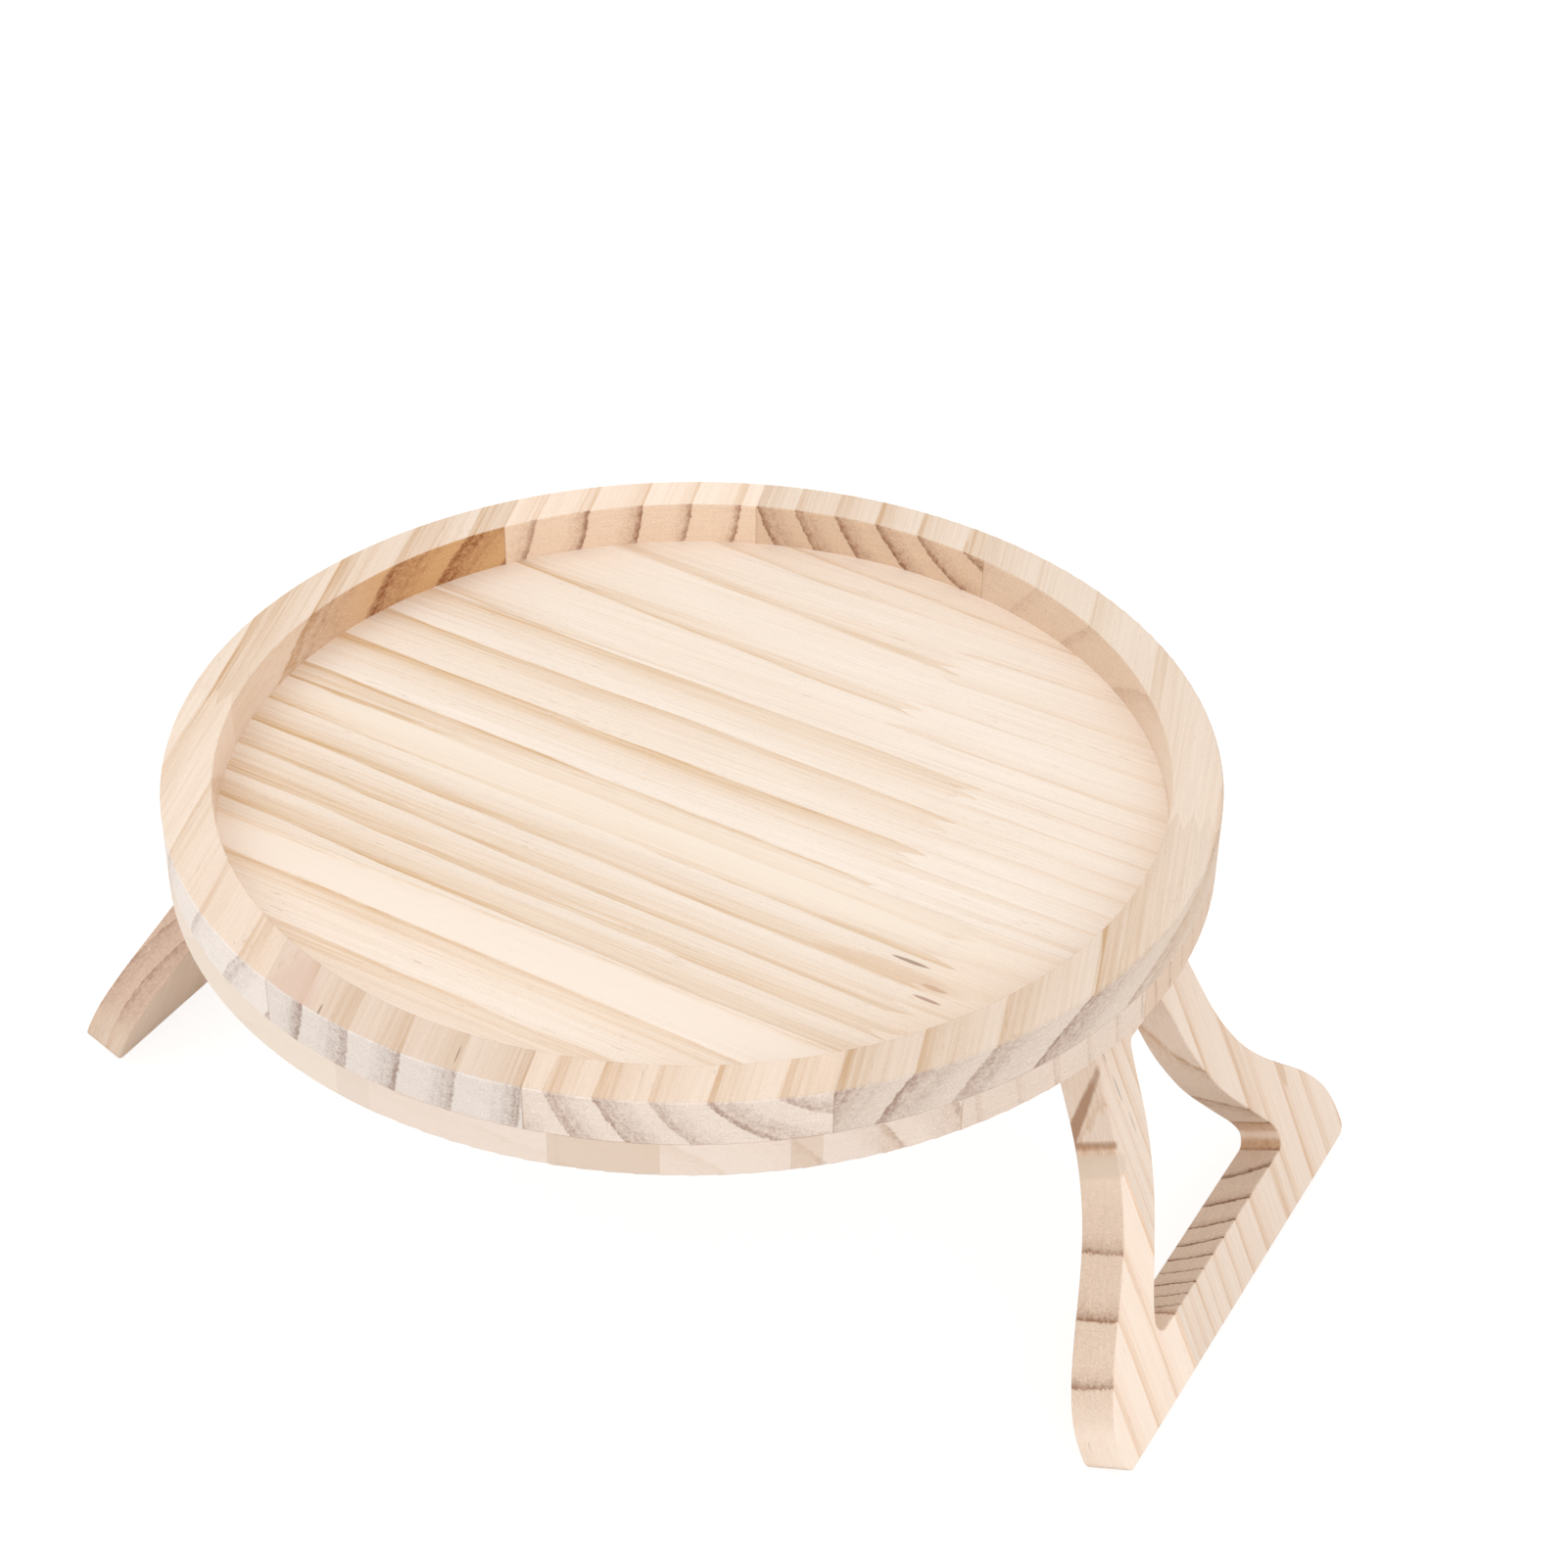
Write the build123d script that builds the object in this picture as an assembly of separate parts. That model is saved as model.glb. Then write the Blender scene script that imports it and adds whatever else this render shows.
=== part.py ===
from build123d import *
import math
import os

# A round pine tray that sits across a sofa arm. A disc carries a rim ring, and
# two fretted legs hang from sprung butt hinges under it. The legs fold flat
# against the underside and open until their upper ends meet the hinge.
# All lengths are millimetres, and Z = 0 is the surface that the feet stand on.
# X runs from hinge to hinge, and Y along the hinge pins.

# Tray
tray_diameter = 250.0
base_thickness = 8.9
rim_height = 11.5
rim_width = 12.0
rim_edge_radius = 0.45
seam_edge_radius = 0.2

# Wood that is handled has its edges eased by this radius
wood_edge_radius = 0.45

# Legs
leg_width = 133.2
leg_thickness = 11.2
leg_foot_corner_radius = 3.0
leg_neck_corner_radius = 2.0
opening_foot_corner_radius = 3.0
opening_neck_corner_radius = 2.0
open_angle = 114.0

# The folded legs nearly meet under the middle of the tray
folded_leg_gap = 6.0

# Both legs and their hinges lie this far off the disc's middle, along Y
leg_shift = 5.0

# Half of the leg's outline, from the hinge end to the foot. Each point is a
# share of the leg's length and a share of half its width.
leg_side_shares = (
    (0.0, 0.31),
    (0.18, 0.374),
    (0.36, 0.432),
    (0.53, 0.562),
    (0.615, 0.672),
    (0.70, 0.80),
    (0.79, 0.917),
    (0.875, 0.984),
    (0.94, 0.999),
    (1.0, 1.0),
)

# Half of the outline of the opening in the leg, in the same shares
opening_side_shares = (
    (0.166, 0.127),
    (0.27, 0.166),
    (0.36, 0.196),
    (0.45, 0.245),
    (0.53, 0.303),
    (0.615, 0.388),
    (0.70, 0.48),
    (0.765, 0.545),
    (0.826, 0.572),
)

# Hinges
hinge_inset = 23.9
barrel_radius = 2.5
leaf_thickness = 1.0
leaf_reach = 14.2
leaf_corner_radius = 1.2
leaf_root_gap = 0.5
barrel_gap = 0.1
folded_gap = 0.2
leg_end_gap = 1.1
tray_knuckle_length = 9.6
leg_knuckle_length = 5.7
knuckle_gap = 0.2
curl_gap = 0.2

# Hinge pins
pin_radius = 1.45
pin_clearance = 0.05
pin_edge_size = 0.4

# Torsion springs
wire_diameter = 0.65
coil_radius = 2.1
coil_pitch = 1.08
coil_whole_turns = 7
coil_end_gap = 0.15
arm_slope = 30.0
arm_bend_radius = 1.2
arm_seat_gap = 0.05
tray_arm_reach = 12.4
leg_arm_reach = 11.0
groove_clearance = 0.25

# Countersunk screws that hold the leaves
screw_offset = 8.2
screw_spacing = 25.3
screw_head_radius = 2.8
screw_head_height = 1.5
screw_shank_radius = 1.4
screw_tip_radius = 0.3
screw_length = 8.0
screw_point_length = 2.5
screw_clearance = 0.03
recess_span = 3.2
recess_width = 0.75
recess_depth = 1.1

# Brads driven up through the base into the rim
brad_radius = 0.75
brad_length = 15.0
brad_sink = 0.3
brad_clearance = 0.03
brad_angles = (-31.4, -128.8, 159.2, 72.4)

# One overrun serves every cut
overrun = 1.0

# Places that follow from the sizes above. In the hinge frame the pin's axis
# is at the origin, X points outward and the leg is folded.
tray_radius = tray_diameter / 2
well_radius = tray_radius - rim_width
hinge_offset = tray_radius - hinge_inset
axis_drop = barrel_radius + barrel_gap
tray_leaf_face = axis_drop - leaf_thickness
leg_leaf_top = axis_drop - folded_gap
leg_face = leg_leaf_top - leaf_thickness
leg_root = barrel_radius + leg_end_gap
leaf_root = barrel_radius + leaf_root_gap
foot_reach = hinge_offset - folded_leg_gap / 2
leg_length = foot_reach - leg_root
wire_radius = wire_diameter / 2
tray_arm_height = tray_leaf_face - arm_seat_gap - wire_radius
leg_arm_height = leg_face - arm_seat_gap - wire_radius
open_radians = math.radians(open_angle)

# The feet stand on the eased inner edge of each foot
foot_drop = (
    (foot_reach - wood_edge_radius) * math.sin(open_radians)
    - (leg_face - wood_edge_radius) * math.cos(open_radians)
    + wood_edge_radius
)
axis_height = foot_drop
base_bottom = axis_height + axis_drop
base_top = base_bottom + base_thickness

# The arms leave the coil on the disc's side, at these turns round the pin,
# so that opening the leg winds the coil up
tray_arm_turn = 90.0 - arm_slope
leg_arm_turn = 90.0 + arm_slope + open_angle
coil_turn = leg_arm_turn - tray_arm_turn + 360.0 * coil_whole_turns
coil_length = coil_pitch * coil_turn / 360.0
coil_lead = coil_pitch / (2 * math.pi * coil_radius)
slope_radians = math.radians(arm_slope)
leg_arm_fall = coil_radius * math.cos(slope_radians) - leg_arm_height
leg_arm_drift = coil_lead * leg_arm_fall / math.sin(slope_radians)
coil_bay = coil_length + wire_diameter + 2 * coil_end_gap
leg_knuckle_end = coil_bay / 2 + leg_knuckle_length
tray_knuckle_start = leg_knuckle_end + knuckle_gap
hinge_half_width = tray_knuckle_start + tray_knuckle_length
tray_arm_y = coil_length / 2
leg_arm_y = -coil_length / 2 - leg_arm_drift


def block(x_range, y_range, z_range):
    """A box between three pairs of limits."""
    size = [high - low for low, high in (x_range, y_range, z_range)]
    middle = [(high + low) / 2 for low, high in (x_range, y_range, z_range)]
    return Pos(*middle) * Box(*size)


def screw(clearance=0.0):
    """A countersunk screw that points down from its head at Z = 0."""
    section = Polyline(
        (0, 0),
        (screw_head_radius + clearance, 0),
        (screw_shank_radius + clearance, -screw_head_height),
        (screw_shank_radius + clearance, screw_point_length - screw_length),
        (screw_tip_radius + clearance, -screw_length),
        (0, -screw_length),
        close=True,
    )
    return revolve(Plane.XZ * make_face(section), Axis.Z)


def screw_hole():
    """The hole that the screw needs, open above its head."""
    mouth = Cylinder(
        screw_head_radius + screw_clearance,
        overrun,
        align=(Align.CENTER, Align.CENTER, Align.MIN),
    )
    return screw(screw_clearance) + mouth


def crossed_screw():
    """The screw with its cross recess."""
    body = screw()
    for turn in (0, 90):
        arm = block(
            (-recess_span / 2, recess_span / 2),
            (-recess_width / 2, recess_width / 2),
            (-recess_depth, overrun),
        )
        body -= Rot(Z=turn) * arm
    return body


def screw_rows():
    """The screws' places along the hinge."""
    return (-screw_spacing / 2, screw_spacing / 2)


def tray_screw_place(y):
    """A tray leaf's screw points up, with its head flush with the leaf."""
    return Pos(screw_offset, y, tray_leaf_face) * Rot(X=180)


def leg_screw_place(y):
    """A leg leaf's screw points into the leg, with its head flush."""
    return Pos(-screw_offset, y, leg_leaf_top)


def brad(clearance=0.0):
    """A headless brad that points up from its sunk head at Z = 0.

    With a clearance it is the hole, which runs out at the underside.
    """
    start = -brad_sink - overrun if clearance else 0.0
    shank = Cylinder(
        brad_radius + clearance,
        brad_length - start,
        align=(Align.CENTER, Align.CENTER, Align.MIN),
    )
    return Pos(Z=start) * shank


def brad_place(angle):
    """Where a brad's head lies, under the middle of the rim."""
    middle = tray_radius - rim_width / 2
    x = middle * math.cos(math.radians(angle))
    y = middle * math.sin(math.radians(angle))
    return Pos(x, y, base_bottom + brad_sink)


def tray_base():
    """The disc, with holes for the leaf screws and the brads."""
    disc = extrude(Circle(tray_radius), amount=base_thickness)
    disc = fillet(disc.edges().group_by(Axis.Z)[0], wood_edge_radius)
    disc = fillet(disc.edges().group_by(Axis.Z)[-1], seam_edge_radius)
    disc = Pos(Z=base_bottom) * disc
    for side in sides.values():
        for y in screw_rows():
            disc -= side * tray_screw_place(y) * screw_hole()
    for angle in brad_angles:
        disc -= brad_place(angle) * brad(brad_clearance)
    return disc


def rim_ring():
    """The ring that stands on the disc's edge."""
    ring = extrude(Circle(tray_radius) - Circle(well_radius), amount=rim_height)
    ring = fillet(ring.edges().group_by(Axis.Z)[-1], rim_edge_radius)
    seam = ring.edges().group_by(Axis.Z)[0].sort_by(SortBy.RADIUS)[-1]
    ring = Pos(Z=base_top) * fillet(seam, seam_edge_radius)
    for angle in brad_angles:
        ring -= brad_place(angle) * brad(brad_clearance)
    return ring


def leg_prism(shares):
    """A board as thick as the leg, symmetric about the leg's middle line.

    Its sides run through the shares, and straight lines close its two ends.
    """
    def side(sign):
        return Spline(
            *[
                (-leg_root - along * leg_length, sign * across * leg_width / 2)
                for along, across in shares
            ]
        )

    right, left = side(1), side(-1)
    neck = Line(left @ 0, right @ 0)
    foot = Line(right @ 1, left @ 1)
    outline = make_face([right, foot, left, neck])
    return extrude(outline, amount=leg_thickness, dir=(0, 0, -1))


def round_corners(board, foot_radius, neck_radius):
    """Round a board's two corners at each end."""
    foot = board.edges().filter_by(Axis.Z).group_by(Axis.X)[0]
    board = fillet(foot, foot_radius)
    neck = board.edges().filter_by(Axis.Z).group_by(Axis.X)[-1]
    return fillet(neck, neck_radius)


def leg():
    """A leg, folded, with the holes that its leaf and spring need."""
    board = round_corners(
        leg_prism(leg_side_shares), leg_foot_corner_radius, leg_neck_corner_radius
    )
    board -= round_corners(
        leg_prism(opening_side_shares),
        opening_foot_corner_radius,
        opening_neck_corner_radius,
    )
    outlines = board.faces().filter_by(Axis.Z)
    board = fillet([edge for face in outlines for edge in face.edges()], wood_edge_radius)
    board = Pos(Z=leg_face) * board
    for y in screw_rows():
        board -= leg_screw_place(y) * screw_hole()
    return board - arm_groove()


def arm_groove():
    """The groove under the leg's leaf that takes the spring's arm."""
    half_width = wire_radius + groove_clearance
    return block(
        (-leg_arm_reach - groove_clearance, -leg_root + overrun),
        (leg_arm_y - half_width, leg_arm_y + half_width),
        (leg_arm_height - half_width, leg_face + overrun),
    )


def knuckle(plate_top, start, end):
    """A rolled eye with its strip of plate, from start to end along Y."""
    plate_middle = plate_top - leaf_thickness / 2
    section = Circle(barrel_radius)
    section += Pos(leaf_reach / 2, plate_middle) * Rectangle(leaf_reach, leaf_thickness)
    section -= Circle(pin_radius + pin_clearance)
    slit_middle = plate_top - leaf_thickness - curl_gap / 2
    section -= Pos(leaf_root / 2, slit_middle) * Rectangle(leaf_root, curl_gap)
    return Pos(Y=end) * extrude(Plane.XZ * section, amount=end - start)


def hinge_leaf(plate_top, start, end, screw_place):
    """A leaf whose plate reaches along +X, with a knuckle on each half."""
    plate = block(
        (leaf_root, leaf_reach),
        (-hinge_half_width, hinge_half_width),
        (plate_top - leaf_thickness, plate_top),
    )
    leaf = plate + knuckle(plate_top, start, end) + knuckle(plate_top, -end, -start)
    corners = leaf.edges().filter_by(Axis.Z).group_by(Axis.X)[-1]
    leaf = fillet(corners, leaf_corner_radius)
    for y in screw_rows():
        leaf -= screw_place(y) * screw_hole()
    return leaf


def tray_leaf():
    """The leaf on the disc's underside, with the two outer knuckles."""
    return hinge_leaf(axis_drop, tray_knuckle_start, hinge_half_width, tray_screw_place)


def leg_leaf():
    """The leaf on the leg's upper face, with the two inner knuckles."""
    turned = Rot(Z=180)
    leaf = hinge_leaf(
        leg_leaf_top,
        coil_bay / 2,
        leg_knuckle_end,
        lambda y: turned * leg_screw_place(y),
    )
    return turned * leaf


def hinge_pin():
    """The pin through all four knuckles and the coil."""
    pin = Rot(X=90) * Cylinder(pin_radius, 2 * hinge_half_width)
    return chamfer(pin.edges().filter_by(GeomType.CIRCLE), pin_edge_size)


def coil_point(turn):
    """The wire's middle, a number of degrees round the pin."""
    angle = math.radians(turn)
    along = tray_arm_y - coil_pitch * (turn - tray_arm_turn) / 360
    return Vector(coil_radius * math.cos(angle), along, coil_radius * math.sin(angle))


def coil_direction(turn):
    """The way the wire runs there, as a unit vector."""
    angle = math.radians(turn)
    rise = -coil_pitch / (2 * math.pi)
    way = Vector(-coil_radius * math.sin(angle), rise, coil_radius * math.cos(angle))
    return way.normalized()


def biarc(start, start_way, end, end_way):
    """Two arcs that join two points and touch both directions."""
    chord = end - start
    total = start_way + end_way
    spread = 2 * (1 - start_way.dot(end_way))
    across = chord.dot(total)
    reach = (-across + math.sqrt(across**2 + spread * chord.dot(chord))) / spread
    middle = (start + start_way * reach + end - end_way * reach) * 0.5
    return [
        Edge.make_tangent_arc(start, start_way, middle),
        Edge.make_tangent_arc(end, end_way * -1, middle),
    ]


def coil_edges():
    """The coil as biarcs of about a quarter turn."""
    count = math.ceil(coil_turn / 90)
    turns = [tray_arm_turn + coil_turn * i / count for i in range(count + 1)]
    edges = []
    for first, last in zip(turns, turns[1:]):
        edges += biarc(
            coil_point(first),
            coil_direction(first),
            coil_point(last),
            coil_direction(last),
        )
    return edges


def arm_edges(start, way, height, reach):
    """A wire arm from the coil: a slope, a bend and a run along the leaf.

    The slope leaves start along way, and the run lies at the given height
    and ends at the given distance from the pin.
    """
    slope_length = (start.Z - height) / -way.Z
    corner = start + way * slope_length
    outward = Vector(math.copysign(1, way.X), 0, 0)
    bend = math.radians(way.get_angle(outward))
    cut = arm_bend_radius * math.tan(bend / 2)
    bend_start = corner - way * cut
    bend_end = corner + outward * cut
    tip = Vector(outward.X * reach, corner.Y, height)
    return [
        Edge.make_line(start, bend_start),
        Edge.make_tangent_arc(bend_start, way, bend_end),
        Edge.make_line(bend_end, tip),
    ]


def spring_path():
    """The spring's wire with the leg open, as one wire."""
    tray_arm = arm_edges(
        coil_point(tray_arm_turn),
        coil_direction(tray_arm_turn) * -1,
        tray_arm_height,
        tray_arm_reach,
    )
    last_turn = tray_arm_turn + coil_turn
    folded_end = coil_point(last_turn).rotate(Axis.Y, open_angle)
    folded_way = coil_direction(last_turn).rotate(Axis.Y, open_angle)
    leg_arm = arm_edges(folded_end, folded_way, leg_arm_height, leg_arm_reach)
    leg_arm = [open_up * edge for edge in leg_arm]
    return Wire(tray_arm[::-1] + coil_edges() + leg_arm)


def hinge_spring():
    """The torsion spring as one unbroken tube."""
    path = spring_path()
    section = Plane(origin=path @ 0, z_dir=path % 0) * Circle(wire_radius)
    return sweep(section, path)


def coil_gap(points_per_turn=48):
    """The least gap between the coil's neighbouring turns."""
    count = round(coil_turn / 360 * points_per_turn)
    points = [coil_point(tray_arm_turn + coil_turn * i / count) for i in range(count + 1)]
    nearest = min(
        (points[i] - points[j]).length
        for i in range(count + 1)
        for j in range(i + points_per_turn // 2, count + 1)
    )
    return nearest - wire_diameter


# The right side's hinge frame lies over +X, and the left side is the same
# hinge turned half round, as the two are fitted on the tray
sides = {
    "right": Pos(hinge_offset, leg_shift, axis_height),
    "left": Rot(Z=180) * Pos(hinge_offset, -leg_shift, axis_height),
}
open_up = Rot(Y=-open_angle)

nodes = {"tray_base": tray_base(), "rim_ring": rim_ring()}
for number, angle in enumerate(brad_angles, 1):
    nodes[f"rim_brad_{number}"] = brad_place(angle) * brad()
for name, side in sides.items():
    nodes[f"{name}_leg"] = side * open_up * leg()
    nodes[f"{name}_hinge_tray_leaf"] = side * tray_leaf()
    nodes[f"{name}_hinge_leg_leaf"] = side * open_up * leg_leaf()
    nodes[f"{name}_hinge_pin"] = side * hinge_pin()
    nodes[f"{name}_hinge_spring"] = side * hinge_spring()
    for number, y in enumerate(screw_rows(), 1):
        tray_place = side * tray_screw_place(y)
        leg_place = side * open_up * leg_screw_place(y)
        nodes[f"{name}_tray_leaf_screw_{number}"] = tray_place * crossed_screw()
        nodes[f"{name}_leg_leaf_screw_{number}"] = leg_place * crossed_screw()

os.makedirs("parts", exist_ok=True)
for name, solid in nodes.items():
    export_step(solid, os.path.join("parts", f"{name}.step"))
print(f"{len(nodes)} nodes, least gap between the spring's turns {coil_gap():.2f} mm")
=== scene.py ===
"""The looks of a round sofa arm tray in raw pine, with two sprung folding legs.

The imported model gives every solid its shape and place. This script gives each
of them its finish, winds the two torsion springs as they are wound in steel,
and sets the stage, the light and the camera of the photograph.
"""

import logging
import math
from dataclasses import dataclass, replace
from enum import Enum
from functools import partial
from typing import Any, Callable

import bmesh
import bpy
from mathutils import Matrix, Vector

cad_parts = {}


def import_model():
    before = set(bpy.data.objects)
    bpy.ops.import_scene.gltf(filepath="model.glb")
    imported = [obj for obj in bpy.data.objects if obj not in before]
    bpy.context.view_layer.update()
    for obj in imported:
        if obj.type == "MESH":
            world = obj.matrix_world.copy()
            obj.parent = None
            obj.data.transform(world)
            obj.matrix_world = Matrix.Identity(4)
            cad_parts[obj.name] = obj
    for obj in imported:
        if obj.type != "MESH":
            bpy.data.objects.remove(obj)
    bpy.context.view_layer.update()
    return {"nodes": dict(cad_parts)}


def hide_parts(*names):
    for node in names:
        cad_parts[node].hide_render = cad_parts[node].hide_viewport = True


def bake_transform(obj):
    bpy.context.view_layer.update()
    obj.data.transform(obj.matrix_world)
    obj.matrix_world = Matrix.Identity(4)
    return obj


LOG = logging.getLogger("arm_tray")
MM = 0.001
MM_PER_METRE = 1000
WHITE = "#FFFFFF"

Triple = tuple[float, float, float]
# What a Map Range reads, from low to high, and what it gives at each
Range = tuple[float, float, float, float]
Node = bpy.types.Node
Feed = bpy.types.Node | bpy.types.NodeSocket
# add_node with its tree given
Adder = Callable[..., Node]
Finish = bpy.types.Material
Solids = dict[str, bpy.types.Object]


def linear(hex_colour: str) -> tuple[float, float, float, float]:
    """Turns an sRGB hex colour into linear light, by the standard's own curve.

    Args:
        hex_colour: Six hex digits after a hash.

    Returns:
        Red, green, blue and an alpha of 1.
    """
    parts = [int(hex_colour[i : i + 2], 16) / 255 for i in (1, 3, 5)]
    light = [c / 12.92 if c <= 0.04045 else ((c + 0.055) / 1.055) ** 2.4 for c in parts]
    return (light[0], light[1], light[2], 1.0)


def add_node(
    tree: bpy.types.NodeTree, kind: str, *feeds: Any, **settings: Any
) -> Node:
    """Adds a shader node with its settings and links.

    Args:
        tree: The node tree that takes it.
        kind: The node's type, without its leading ShaderNode.
        *feeds: One for each input in use, in order: a node, an output socket,
            an sRGB hex colour, a plain value, or None to leave it as it is.
        **settings: The node's own settings.

    Returns:
        The new node.
    """
    node = tree.nodes.new("ShaderNode" + kind)
    for name, value in settings.items():
        setattr(node, name, value)
    for socket, feed in zip([s for s in node.inputs if s.enabled], feeds):
        if isinstance(feed, str):
            feed = linear(feed)
        if isinstance(feed, bpy.types.Node):
            feed = next(s for s in feed.outputs if s.enabled)
        if isinstance(feed, bpy.types.NodeSocket):
            tree.links.new(feed, socket)
        elif feed is not None:
            socket.default_value = feed
    return node


def empty_nodes(owner: Finish | bpy.types.World) -> Adder:
    """Gives a material or world an empty node tree.

    Args:
        owner: The material or world.

    Returns:
        What adds nodes to that tree.
    """
    owner.use_nodes = True
    owner.node_tree.nodes.clear()
    return partial(add_node, owner.node_tree)


def dress(solid: bpy.types.Object, material: Finish) -> None:
    """Puts one material in every slot of an object.

    Args:
        solid: The object.
        material: The material.
    """
    if not solid.material_slots:
        solid.data.materials.append(material)
    for place in solid.material_slots:
        place.material = material


@dataclass(frozen=True)
class Board:
    """One length of pine between two glue lines and two finger joints.

    The growth rings are cylinders round the pith, so that faces, edges and end
    grain all cut the same rings. The panels give a board's values in this order.

    Attributes:
        pith_across: The pith's place across the panel, in mm.
        pith_depth: Its place through the panel, in mm.
        ring_width: How far apart the rings are, in mm.
        ring_phase: The part of a ring at which the count starts.
        drift: The mm that the grain runs off sideways for each mm along.
        contrast: How strong the latewood is, from 0 to 1.
        band: How wide the latewood is in its ring, from 0, a line, to 1.
        tone: How pink the board is: about 0.5 in clouds only, 1 all over.
        end_tone: How brown its end grain is, from 0 to 1.
        end_line: How strong the line at each ring's end is there, from 0 to 1.
        growth: Above 1 the rings get narrower outward, below 1 wider.
        shade: How light the board is, from 0 to 1, where 0.5 is as written.
    """

    pith_across: float
    pith_depth: float
    ring_width: float
    ring_phase: float
    drift: float = 0.0
    contrast: float = 0.7
    band: float = 0.5
    tone: float = 0.5
    end_tone: float = 0.35
    end_line: float = 0.5
    growth: float = 1.0
    shade: float = 0.5


# A joint this far along, in mm, is past the end of every stave
NO_JOINT = 399.0


@dataclass(frozen=True)
class Stave:
    """One row of the panel: its far glue line and its finger joint, in mm."""

    far_edge: float
    near: Board
    joint: float = NO_JOINT
    beyond: Board | None = None


@dataclass(frozen=True)
class Mark:
    """A knot, pitch streak or sawn patch: an oval along the grain, in mm.

    One with a slope leans through the board, by that many mm along it for
    each mm of depth, and shows on the end grain too.
    """

    along: float
    across: float
    length: float
    width: float
    colour: str
    strength: float
    slope: float = 0.0


@dataclass(frozen=True)
class Finger:
    """A finger of the outermost stave, seen from its side on the disc's edge.

    It runs from start to end, in mm along the grain. One that spans the whole
    edge is no finger but painted shade.
    """

    start: float
    end: float
    colour: str
    strength: float


@dataclass(frozen=True)
class Noise:
    """An irregular pattern in the wood.

    Attributes:
        sizes: The mm sizes of its grains along, across and through the panel.
        detail: How many finer layers it has.
        place: Where it is read, so that no two patterns run together.
        reach: What it is stretched to, if anything.
    """

    sizes: Triple
    detail: float
    place: float
    reach: Range | None = None


# The way from one pattern's place to the next one's
NOISE_STEP = Vector((3.1, 7.7, 5.3))
NOISE_ROUGHNESS = 0.55
# Fibres wander a millimetre or so over a hand's breadth
SWAY = Noise((75, 26, 26), 2.0, 1.0, (0.0, 1.0, -1.5, 1.5))
# Each ring's edge wavers by less than that
WAVER = Noise((26, 1.1, 1.1), 4.0, 2.0, (0.0, 1.0, -0.7, 0.7))
# Latewood fades and comes back along the board
PATCHES = Noise((38, 2.2, 2.2), 2.0, 3.0, (0.3, 0.7, 0.66, 1.1))
FIBRES = Noise((22, 0.55, 0.55), 3.0, 4.0)
RESIN_DASHES = Noise((4.5, 0.42, 0.42), 1.0, 5.0)
# The dashes crowd in some places, where fewer of them are held back
DASH_LIMIT = Noise((40, 9, 9), 1.0, 6.0, (0.35, 0.65, 0.78, 0.68))
PINK_CLOUDS = Noise((110, 16, 16), 2.0, 7.0, (0.35, 0.7, 0.0, 0.35))
MARK_FRAY = Noise((6, 0.7, 0.7), 2.0, 8.0)
# Pores are under 0.05 mm, and are drawn ten times as coarse to show
PORES = Noise((0.6, 0.38, 0.38), 2.0, 9.0, (0.3, 0.7, 0.89, 1.08))
RESIN_SPECKS = Noise((1.4, 0.55, 0.55), 1.0, 10.0)
# Sanding dust is finer than 0.1 mm, and is drawn coarser to show
DUST = Noise((0.42, 0.34, 0.34), 1.0, 11.0, (0.3, 0.7, 0.96, 1.03))
# Sanding across the end leaves faint level streaks
SANDING_STREAKS = Noise((5.0, 7.0, 0.28), 2.0, 12.0, (0.3, 0.7, 0.95, 1.04))
# Bundles of fibres give a silky streak along the face
SILK = Noise((55, 0.75, 0.75), 4.0, 13.0, (0.36, 0.64, 0.0, 1.0))

# The board values in each of three tables, whose rows have room for four
TABLES = (
    ("pith_across", "pith_depth", "ring_width", "ring_phase"),
    ("drift", "contrast", "band", "tone"),
    ("end_tone", "end_line", "growth", "shade"),
)
# The lowest value and the span of those that don't run from 0 to 1, which is
# all that a table holds
SPANS = {
    "joint": (-400.0, 800.0),
    "pith_across": (-400.0, 800.0),
    "pith_depth": (-200.0, 400.0),
    "ring_width": (0.0, 100.0),
    "drift": (-0.25, 0.5),
    "growth": (0.0, 4.0),
}
UNIT_SPAN = (0.0, 1.0)

# The weakest ring's strength before the panel's unevenness comes off it
WEAKEST_RING = 1.02
# Narrow latewood rises steeply, as this power of the way through its ring,
# and wide latewood slowly
STEEPNESS = (0.0, 1.0, 8.0, 1.0)
STEEPNESS_SPREAD = 0.7
# Part of the rise comes only near its crest
CREST_POWER = 3.5
CREST_SHARE = 0.25
# The dark end of a ring runs over a little into the next
RUN_OVER = (0.0, 0.04, 0.6, 0.0)
RING_END = (0.86, 0.985, 0.0, 1.0)
SILK_BREAKS = (0.0, 1.0, 0.62, 1.25)
# False rings: fine stripes that follow the true ones, as grains for each mm
STRIPE_SCALE = 0.85
STRIPE_ROUGHNESS = 0.6
STRIPES = (0.32, 0.68, 0.62, 1.25)
# The mm along the panel between which it fades
FADE_FROM, FADE_TO = -110.0, 80.0
DASH_EDGE = (0.0, 0.06, 0.0, 1.0)
SHADES = (0.0, 1.0, 0.88, 1.12)

PLAIN_TONE = 0.5
SILK_POWER = 2.0
SILK_SHARE = 0.13
FIBRE_SHADES = (0.25, 0.75, 0.955, 1.03)
DASH_SHARE = 0.28
# The mm from a glue line at which it is full and at which it is gone
GLUE_FULL, GLUE_GONE = 0.05, 0.26
FACE_GLUE = 0.15
END_GLUE = 0.38
# The same for a mark's edge, as shares of its half size, and how ragged it is
MARK_FULL, MARK_GONE = 0.95, 1.25
MARK_RAGGED = 0.5
LEANING_MARK_RAGGED = 0.2
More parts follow.
